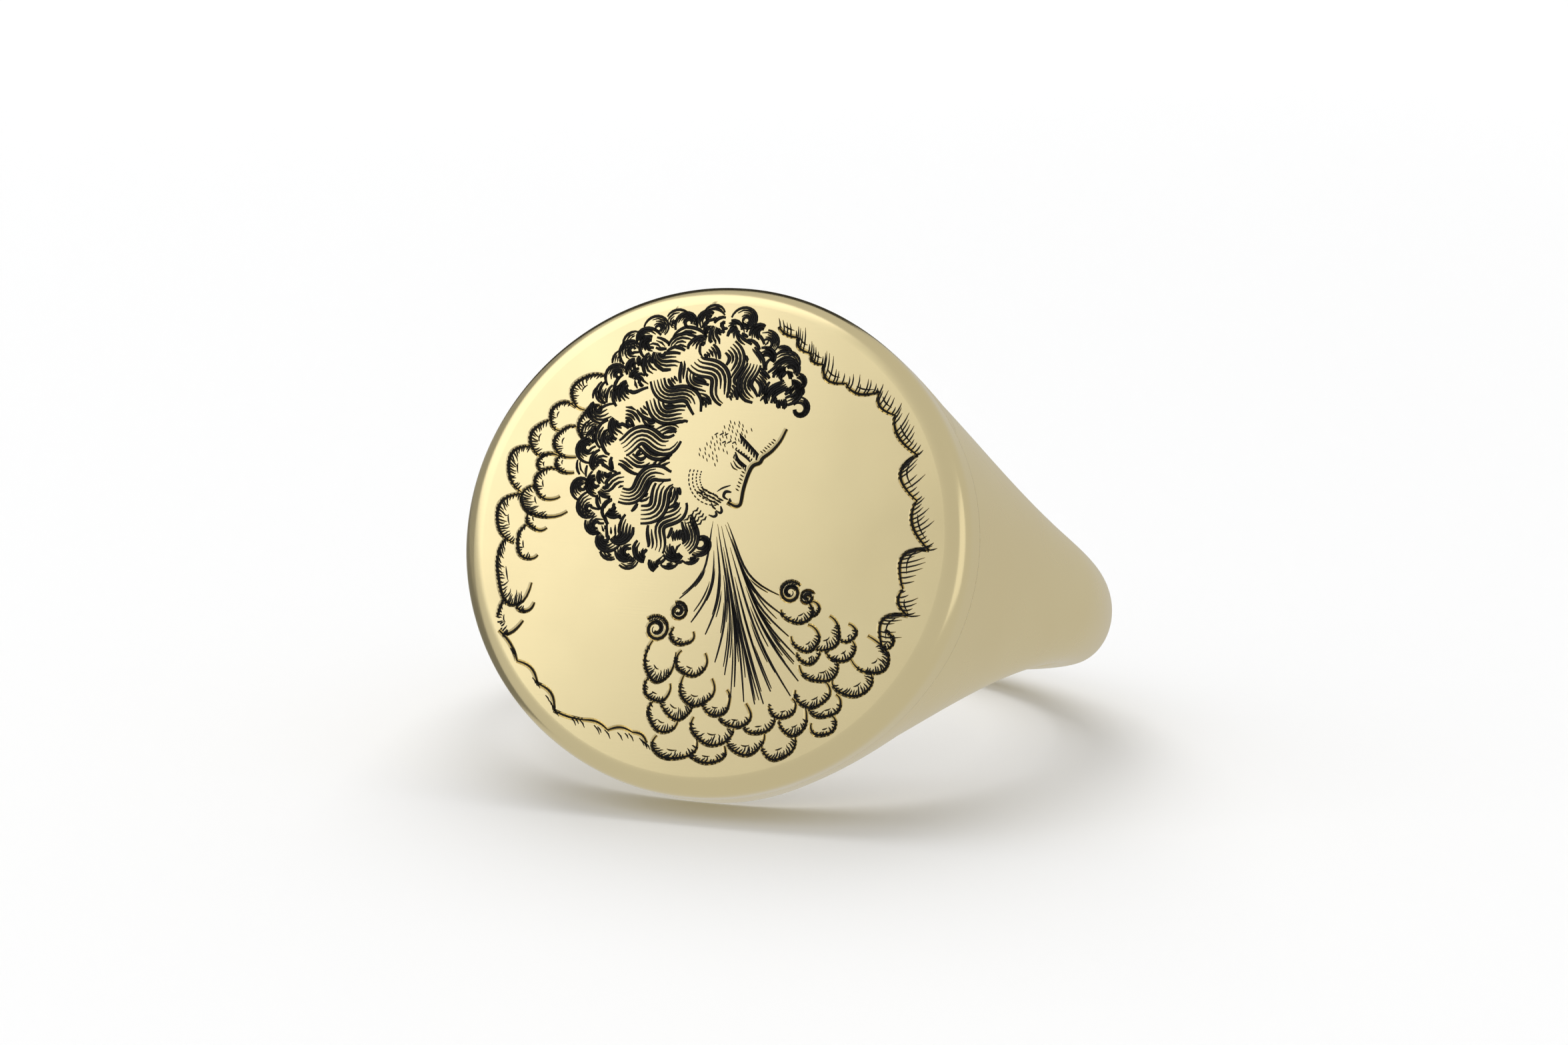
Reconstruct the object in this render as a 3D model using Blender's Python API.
"""A round-table signet ring, lying on its side as it rests on a flat surface.

The gold is five soldered pieces: a round table plate, the head block under it, two
shoulders and a back shank. The picture on the table is eight inlays of black enamel, each
seated in its own groove. The ring is modelled about the axis of its finger hole (Z, with
the table facing -Y), and one parent empty then tips it onto its resting points.
"""
import math

import bmesh
import bpy
from mathutils import Matrix, Vector

# Driving sizes, in metres.
BORE_RADIUS = 0.0090          # finger hole
TABLE_RADIUS = 0.0080         # round engraved face
TABLE_RISE = 0.0027           # from the hole up to the face, at the middle
TABLE_THICKNESS = 0.0011      # soldered table plate
RIM_CHAMFER = 0.00035         # softened edge of the table
SHANK_THICKNESS = 0.00175     # crown of the shank above the hole
SHANK_HALF_WIDTH = 0.0016     # palm side of the shank
SHANK_WALL = 0.00035          # flat side wall beside the hole
NEAR_TAPER = 5.6              # how soon the width falls away beside the table: higher is sooner
FAR_TAPER = 3.4               # the same, towards the back of the shank
HEAD_SEAM = math.radians(43)  # from the table's middle to the shoulder solder line
BACK_SEAM = math.radians(115)  # from the table's middle to the sizing solder line
SOLDER_GAP = 0.00002          # clearance left between soldered pieces

GROOVE_DEPTH = 0.00030        # flat-bottomed engraving under the hair and the beard
INLAY_CLEARANCE = 0.00001     # between an inlay and its groove, on every side
INLAY_RECESS = 0.00002        # the enamel lies this far below the table
LINE_HALF_WIDTH = 0.00009     # engraved outline
FINE_HALF_WIDTH = 0.00006     # thin end of a stroke
CURL_HEIGHT = 0.00016         # bulge of a curl on the edge of the hair

DRAWING_RADIUS = 8.0          # grid squares from the middle of the picture to the table's rim

RIM_STEPS = 14                # sections in a quarter turn of the table's rim
SHANK_STEPS = 30              # sections from the rim round to the back
FLANK_STEPS = 6               # facets across one flank
RIM_CORNERS = 112             # corners round the table plate's blank
FAR = 0.040                   # reach of the cutters, past everything
WELD = 1e-7                   # points closer than this become one
ON_RIM = 1e-6                 # a section this close to the rim's angle, in radians, is at the rim
STEEPEST_REST = math.radians(45)   # the rest tilt is looked for from upright to here
REST_HALVINGS = 40            # halvings of that range

TABLE_HEIGHT = BORE_RADIUS + TABLE_RISE   # from the hole's axis to the face
SHANK_RADIUS = BORE_RADIUS + SHANK_THICKNESS
FLANK_FOOT = BORE_RADIUS + SHANK_WALL
RIM_ANGLE = math.atan2(TABLE_RADIUS, TABLE_HEIGHT)
RIM_REACH = math.hypot(TABLE_RADIUS, TABLE_HEIGHT)
TANGENT_ANGLE = RIM_ANGLE + math.acos(SHANK_RADIUS / RIM_REACH)


def clear_scene():
    for obj in list(bpy.data.objects):
        bpy.data.objects.remove(obj, do_unlink=True)


def make_collection(name):
    collection = bpy.data.collections.new(name)
    bpy.context.scene.collection.children.link(collection)
    return collection


def make_material(name, color, roughness, metallic):
    material = bpy.data.materials.new(name)
    material.use_nodes = True
    shader = material.node_tree.nodes["Principled BSDF"]
    shader.inputs["Base Color"].default_value = (*color, 1.0)
    shader.inputs["Roughness"].default_value = roughness
    shader.inputs["Metallic"].default_value = metallic
    material.diffuse_color = (*color, 1.0)
    return material


def add_object(name, mesh, collection, parent, material=None):
    obj = bpy.data.objects.new(name, mesh)
    collection.objects.link(obj)
    obj.parent = parent
    if material:
        mesh.materials.clear()
        mesh.materials.append(material)
    return obj


def add_cutter(name, mesh, collection, parent):
    cutter = add_object(name, mesh, collection, parent)
    cutter.hide_render = True
    cutter.display_type = "WIRE"
    return cutter


def add_boolean(obj, cutter, operation, crossing=False):
    modifier = obj.modifiers.new(f"{operation.lower()} {cutter.name}", "BOOLEAN")
    modifier.operation = operation
    modifier.object = cutter
    modifier.solver = "EXACT"
    modifier.use_self = crossing


# ---- the gold body, from sections through the axis of the hole ----

def ridge_reach(angle):
    """Reach of the crown line: straight from the table's side, then round the shank."""
    return SHANK_RADIUS / math.cos(max(0.0, TANGENT_ANGLE - angle))


def table_chord(angle):
    """Half of the table's height where a section at this angle crosses it."""
    return math.sqrt(max(0.0, TABLE_RADIUS ** 2 - (TABLE_HEIGHT * math.tan(angle)) ** 2))


def rim_half_width():
    """The half width beside the table at which the flank runs smoothly into its round rim."""
    lean = TANGENT_ANGLE - RIM_ANGLE
    narrowing = 2 * TABLE_RADIUS * TABLE_HEIGHT / math.cos(RIM_ANGLE) ** 2
    falling = RIM_REACH * (math.tan(RIM_ANGLE) + math.tan(lean))
    return math.sqrt(narrowing * (RIM_REACH - FLANK_FOOT) / (2 * falling))


def half_width(angle):
    """Half of the ring's width at the mouth of the hole, at an angle from the table."""
    if angle < RIM_ANGLE - ON_RIM:
        share = (TABLE_HEIGHT / math.cos(angle) - FLANK_FOOT) / (ridge_reach(angle) - FLANK_FOOT)
        return table_chord(angle) / math.sqrt(1 - share ** 2)
    turn = (1 + math.cos(angle)) / (1 + math.cos(RIM_ANGLE))
    fall = turn ** (FAR_TAPER + (NEAR_TAPER - FAR_TAPER) * turn)
    return SHANK_HALF_WIDTH + (rim_half_width() - SHANK_HALF_WIDTH) * fall


def flank(angle):
    """One side of a section, as (reach, height): an oval from the mouth to the crown or the table."""
    width = half_width(angle)
    rise = ridge_reach(angle) - FLANK_FOOT
    highest = math.pi / 2
    if angle < RIM_ANGLE - ON_RIM:
        highest = math.asin((TABLE_HEIGHT / math.cos(angle) - FLANK_FOOT) / rise)
    points = [Vector((BORE_RADIUS, width))]
    for step in range(FLANK_STEPS + 1):
        turn = highest * step / FLANK_STEPS
        points.append(Vector((FLANK_FOOT + rise * math.sin(turn), width * math.cos(turn))))
    return points


def section(angle):
    """A closed section as 3-D points: up one flank and down the other."""
    side = flank(abs(angle))
    outline = side + [Vector((point.x, -point.y)) for point in reversed(side)]
    around = Vector((math.sin(angle), -math.cos(angle), 0))
    return [around * point.x + Vector((0, 0, point.y)) for point in outline]


def section_angles():
    rim = [math.atan(TABLE_RADIUS / TABLE_HEIGHT * math.sin(step * math.pi / 2 / RIM_STEPS))
           for step in range(RIM_STEPS + 1)]
    shank = [RIM_ANGLE + (math.pi - RIM_ANGLE) * step / SHANK_STEPS
             for step in range(1, SHANK_STEPS + 1)]
    right = rim + shank
    return right + [-angle for angle in reversed(right[1:-1])]


def make_body_mesh():
    """A loft through the sections, all the way round the finger."""
    bm = bmesh.new()
    rings = [[bm.verts.new(point) for point in section(angle)] for angle in section_angles()]
    for ring, following in zip(rings, rings[1:] + rings[:1]):
        for index in range(len(ring)):
            after = (index + 1) % len(ring)
            bm.faces.new((ring[index], ring[after], following[after], following[index]))
    bmesh.ops.remove_doubles(bm, verts=bm.verts, dist=WELD)
    bmesh.ops.recalc_face_normals(bm, faces=bm.faces)
    mesh = bpy.data.meshes.new("gold_body")
    bm.to_mesh(mesh)
    bm.free()
    return mesh


# ---- cutters that part the body at its solder lines ----

def prism_mesh(name, outline, low, high, inset=0.0):
    """A flat outline of (x, y) points made solid from z = low to z = high, drawn in by the inset."""
    bm = bmesh.new()
    face = bm.faces.new([bm.verts.new((x, y, low)) for x, y in outline])
    bmesh.ops.recalc_face_normals(bm, faces=[face])
    if inset:
        rim = bmesh.ops.inset_individual(bm, faces=[face], thickness=inset, use_even_offset=True)
        bmesh.ops.delete(bm, geom=rim["faces"], context="FACES")
    raised = bmesh.ops.extrude_face_region(bm, geom=bm.faces[:])
    lifted = [item for item in raised["geom"] if isinstance(item, bmesh.types.BMVert)]
    bmesh.ops.translate(bm, verts=lifted, vec=(0, 0, high - low))
    bmesh.ops.recalc_face_normals(bm, faces=bm.faces)
    mesh = bpy.data.meshes.new(name)
    bm.to_mesh(mesh)
    bm.free()
    return mesh


def slab_mesh(name, low, high):
    """A square slab of the table's frame that reaches past everything sideways."""
    return prism_mesh(name, [(-FAR, -FAR), (FAR, -FAR), (FAR, FAR), (-FAR, FAR)], low, high)


def wedge_mesh(name, start, end):
    """A wedge about the hole's axis, drawn in by half a solder gap on both sides."""
    middle = (start + end) / 2
    apex = SOLDER_GAP / 2 / math.sin((end - start) / 2)
    tip = Vector((math.sin(middle), -math.cos(middle))) * apex
    corners = [tip] + [tip + Vector((math.sin(angle), -math.cos(angle))) * FAR
                       for angle in (start, middle, end)]
    return prism_mesh(name, [tuple(corner) for corner in corners], -FAR, FAR)


def table_blank_mesh():
    """The table plate's round blank in the table's own frame, with its rim turned to 45 degrees."""
    bm = bmesh.new()
    bmesh.ops.create_cone(
        bm, cap_ends=True, segments=RIM_CORNERS, depth=TABLE_THICKNESS,
        radius1=TABLE_RADIUS - RIM_CHAMFER + TABLE_THICKNESS, radius2=TABLE_RADIUS - RIM_CHAMFER,
        matrix=Matrix.Translation((0, 0, -TABLE_THICKNESS / 2)))
    mesh = bpy.data.meshes.new("table_blank")
    bm.to_mesh(mesh)
    bm.free()
    return mesh


# ---- the engraving, in the table's frame: x to the right, y up, z out of the face ----

def smooth(points, steps=5, closed=False):
    """A curve through hand-set points, each stretch divided evenly."""
    count = len(points)
    spans = count if closed else count - 1
    places = [Vector(point) for point in points]
    curve = []
    for span in range(spans):
        if closed:
            before, start, end, beyond = (places[(span + k) % count] for k in (-1, 0, 1, 2))
        else:
            start, end = places[span], places[span + 1]
            before = places[span - 1] if span else start * 2 - end
            beyond = places[span + 2] if span + 2 < count else end * 2 - start
        for step in range(steps):
            t = step / steps
            curve.append(0.5 * (2 * start + (end - before) * t
                                + (2 * before - 5 * start + 4 * end - beyond) * t * t
                                + (3 * start - before - 3 * end + beyond) * t ** 3))
    return curve if closed else curve + [places[-1]]


def scallop(points, rise, steps=5):
    """A chain of round lobes from point to point, each rising to the left by a share of its chord."""
    places = [Vector(point) for point in points]
    chain = []
    for start, end in zip(places, places[1:]):
        chord = end - start
        left = Vector((-chord.y, chord.x))
        chain += [start + chord * (step / steps) + left * rise * math.sin(math.pi * step / steps)
                  for step in range(steps)]
    return chain + [places[-1]]


def curly(points, height, steps=5):
    """A closed outline whose stretches carry small curls, for the edge of hair."""
    guide = smooth(points, 3, closed=True)
    ends = guide[1:] + guide[:1]
    curled = []
    for start, end in zip(guide, ends):
        chord = end - start
        outward = Vector((chord.y, -chord.x)).normalized() * height
        curled += [start + chord * (step / steps) + outward * math.sin(math.pi * step / steps)
                   for step in range(steps)]
    return curled


def on_table(*squares):
    """Places on the drawing's grid as metres from the middle of the table."""
    square = TABLE_RADIUS / DRAWING_RADIUS
    return [(x * square, y * square) for x, y in squares]


HAIR = on_table(
    (2.8, 4.9), (2.6, 5.8), (1.8, 6.5), (0.8, 7.0), (-0.6, 7.15), (-2.0, 6.8), (-3.2, 6.1),
    (-4.1, 5.1), (-4.5, 4.0), (-4.4, 2.9), (-3.2, 2.55), (-2.3, 3.0), (-1.8, 4.0), (-0.9, 4.9),
    (0.4, 5.3), (1.6, 5.2))
BEARD = on_table(
    (-4.5, 2.4), (-4.6, 1.4), (-4.1, 0.5), (-3.2, -0.2), (-2.1, -0.45), (-1.2, -0.1), (-0.75, 0.55),
    (-1.3, 1.0), (-2.0, 1.5), (-2.5, 2.2), (-3.4, 2.1))
PROFILE = on_table(
    (2.05, 4.55), (2.2, 3.9), (2.05, 3.3), (1.75, 2.9), (1.72, 2.6), (1.95, 2.1), (2.0, 1.55), (1.75, 1.3),
    (1.25, 1.35), (1.05, 1.1), (1.0, 0.85), (0.65, 0.85), (0.45, 0.7), (0.35, 0.35), (0.0, 0.1))
MOUTH = on_table((-0.35, -0.35))[0]
BREATH_ENDS = on_table(
    (-0.6, -2.3), (0.2, -3.6), (1.1, -4.6), (2.0, -4.9), (2.7, -4.2), (3.0, -3.0), (2.9, -1.7))
BILLOW = on_table(
    (-0.9, -2.5), (-1.7, -3.1), (-1.6, -4.3), (-1.3, -5.5), (-0.4, -6.4), (1.0, -6.6), (2.2, -6.4),
    (3.3, -5.5), (4.3, -4.6), (5.1, -3.6), (5.3, -2.6), (4.4, -1.9), (3.5, -1.5))
LEFT_CLOUD = on_table(
    (-4.6, 5.3), (-5.6, 4.5), (-6.3, 3.4), (-6.6, 2.2), (-6.9, 1.0), (-6.8, -0.4), (-6.9, -1.8), (-6.4, -3.1))
RIGHT_CLOUD = on_table(
    (6.6, -2.4), (6.8, -1.5), (6.9, -0.6), (6.8, 0.7), (6.9, 1.9), (6.3, 3.1), (5.9, 4.2),
    (4.9, 5.1), (3.9, 5.9), (3.1, 6.5))
LOWER_CLOUD = on_table((-6.1, -3.5), (-5.2, -4.3), (-4.4, -5.2), (-3.3, -5.9), (-2.2, -6.4))


def breath_strokes():
    """Rays that leave the mouth together and fan out in gentle curves."""
    start = Vector(MOUTH)
    middle = sum((Vector(end) for end in BREATH_ENDS), Vector((0, 0))) / len(BREATH_ENDS)
    bows = [start.lerp(middle.lerp(Vector(end), 0.6), 0.5) for end in BREATH_ENDS]
    return [smooth([start, bow, end]) for bow, end in zip(bows, BREATH_ENDS)]


FILLED = {
    "hair_inlay": lambda: curly(HAIR, CURL_HEIGHT),
    "beard_inlay": lambda: curly(BEARD, CURL_HEIGHT),
}
LINED = {
    "profile_inlay": lambda: [smooth(PROFILE, 4)],
    "breath_inlay": breath_strokes,
    "billow_inlay": lambda: [scallop(BILLOW, -0.35)],
    "left_cloud_inlay": lambda: [scallop(LEFT_CLOUD, 0.35)],
    "right_cloud_inlay": lambda: [scallop(RIGHT_CLOUD, 0.35)],
    "lower_cloud_inlay": lambda: [scallop(LOWER_CLOUD, 0.25)],
}


def stroke_mesh(name, strokes, narrower=0.0):
    """Strokes as four-sided tubes, whose lower halves are the V that a graver cuts.

    They are as wide as the grooves, or narrower all round by the given amount.
    """
    curve = bpy.data.curves.new(name, "CURVE")
    curve.dimensions = "3D"
    curve.bevel_depth = LINE_HALF_WIDTH - narrower
    curve.bevel_resolution = 0
    curve.use_fill_caps = True
    for stroke in strokes:
        spline = curve.splines.new("POLY")
        spline.points.add(len(stroke) - 1)
        for index, (point, place) in enumerate(zip(spline.points, stroke)):
            along = index / (len(stroke) - 1)
            point.co = (*place, 0, 1)
            point.radius = 1 - (1 - FINE_HALF_WIDTH / LINE_HALF_WIDTH) * abs(2 * along - 1)
    holder = bpy.data.objects.new(name, curve)
    bpy.context.scene.collection.objects.link(holder)
    evaluated = holder.evaluated_get(bpy.context.evaluated_depsgraph_get())
    mesh = bpy.data.meshes.new_from_object(evaluated)
    bpy.data.objects.remove(holder)
    bm = bmesh.new()
    bm.from_mesh(mesh)
    bmesh.ops.remove_doubles(bm, verts=bm.verts, dist=WELD)
    bmesh.ops.recalc_face_normals(bm, faces=bm.faces)
    bm.to_mesh(mesh)
    bm.free()
    return mesh


# ---- assembly ----

def make_gold_pieces(parts, cutters, ring_rest, table_face, gold):
    """The five soldered pieces, each parted from its own copy of the body."""
    blank = add_cutter("table_blank", table_blank_mesh(), cutters, table_face)
    seat = slab_mesh("table_seat", -TABLE_THICKNESS - SOLDER_GAP, FAR)
    seat = add_cutter("table_seat", seat, cutters, table_face)
    full_turn = 2 * math.pi
    spans = {
        "signet_head": (-HEAD_SEAM, HEAD_SEAM),
        "right_shoulder": (HEAD_SEAM, BACK_SEAM),
        "back_shank": (BACK_SEAM, full_turn - BACK_SEAM),
        "left_shoulder": (full_turn - BACK_SEAM, full_turn - HEAD_SEAM),
    }
    body = make_body_mesh()
    table = add_object("signet_table", body.copy(), parts, ring_rest, gold)
    add_boolean(table, blank, "INTERSECT")
    for name, (start, end) in spans.items():
        piece = add_object(name, body.copy(), parts, ring_rest, gold)
        wedge = wedge_mesh(f"{name}_wedge", start, end)
        add_boolean(piece, add_cutter(wedge.name, wedge, cutters, ring_rest), "INTERSECT")
        if name == "signet_head":
            add_boolean(piece, seat, "DIFFERENCE")
    return table


def make_inlays(parts, cutters, table_face, table, enamel):
    """Enamel in its grooves: every groove is the inlay's own outline with the clearance added."""
    above = slab_mesh("above_inlays", -INLAY_RECESS, FAR)
    above = add_cutter("above_inlays", above, cutters, table_face)
    for name, outline in FILLED.items():
        groove = prism_mesh(f"{name}_groove", outline(), -GROOVE_DEPTH, GROOVE_DEPTH)
        add_boolean(table, add_cutter(groove.name, groove, cutters, table_face), "DIFFERENCE")
        inlay = prism_mesh(name, outline(), INLAY_CLEARANCE - GROOVE_DEPTH, -INLAY_RECESS,
                           inset=INLAY_CLEARANCE)
        add_object(name, inlay, parts, table_face, enamel)
    for name, strokes in LINED.items():
        groove = stroke_mesh(f"{name}_groove", strokes())
        add_boolean(table, add_cutter(groove.name, groove, cutters, table_face), "DIFFERENCE",
                    crossing=True)
        inlay = stroke_mesh(name, strokes(), narrower=INLAY_CLEARANCE)
        inlay = add_object(name, inlay, parts, table_face, enamel)
        add_boolean(inlay, above, "DIFFERENCE", crossing=True)


def lay_on_side(parts, ring_rest):
    """Tips the ring until the table's rim and the shank's back touch z = 0, centred on x and y."""
    bpy.context.view_layer.update()
    graph = bpy.context.evaluated_depsgraph_get()
    points = []
    for obj in parts.objects:
        if obj.type == "MESH":
            evaluated = obj.evaluated_get(graph)
            points += [obj.matrix_world @ vertex.co for vertex in evaluated.data.vertices]
    front = [point for point in points if point.y < 0]
    back = [point for point in points if point.y >= 0]
    least, most = 0.0, STEEPEST_REST
    for _ in range(REST_HALVINGS):
        tilt = (least + most) / 2
        turn = Matrix.Rotation(-tilt, 3, "X")
        if min((turn @ point).z for point in back) > min((turn @ point).z for point in front):
            least = tilt
        else:
            most = tilt
    turned = [turn @ point for point in points]
    lows = [min(point[axis] for point in turned) for axis in range(3)]
    highs = [max(point[axis] for point in turned) for axis in range(3)]
    ring_rest.rotation_euler = (-tilt, 0, 0)
    ring_rest.location = (-(lows[0] + highs[0]) / 2, -(lows[1] + highs[1]) / 2, -lows[2])


def build():
    clear_scene()
    parts = make_collection("signet_ring")
    cutters = make_collection("cutters")
    gold = make_material("polished_gold", (0.75, 0.63, 0.36), 0.18, 1.0)
    enamel = make_material("black_enamel", (0.012, 0.011, 0.010), 0.45, 0.0)

    ring_rest = bpy.data.objects.new("ring_rest", None)
    parts.objects.link(ring_rest)
    table_face = bpy.data.objects.new("table_face", None)
    parts.objects.link(table_face)
    table_face.parent = ring_rest
    table_face.location = (0, -TABLE_HEIGHT, 0)
    table_face.rotation_euler = (math.pi / 2, 0, 0)

    table = make_gold_pieces(parts, cutters, ring_rest, table_face, gold)
    make_inlays(parts, cutters, table_face, table, enamel)
    lay_on_side(parts, ring_rest)


build()
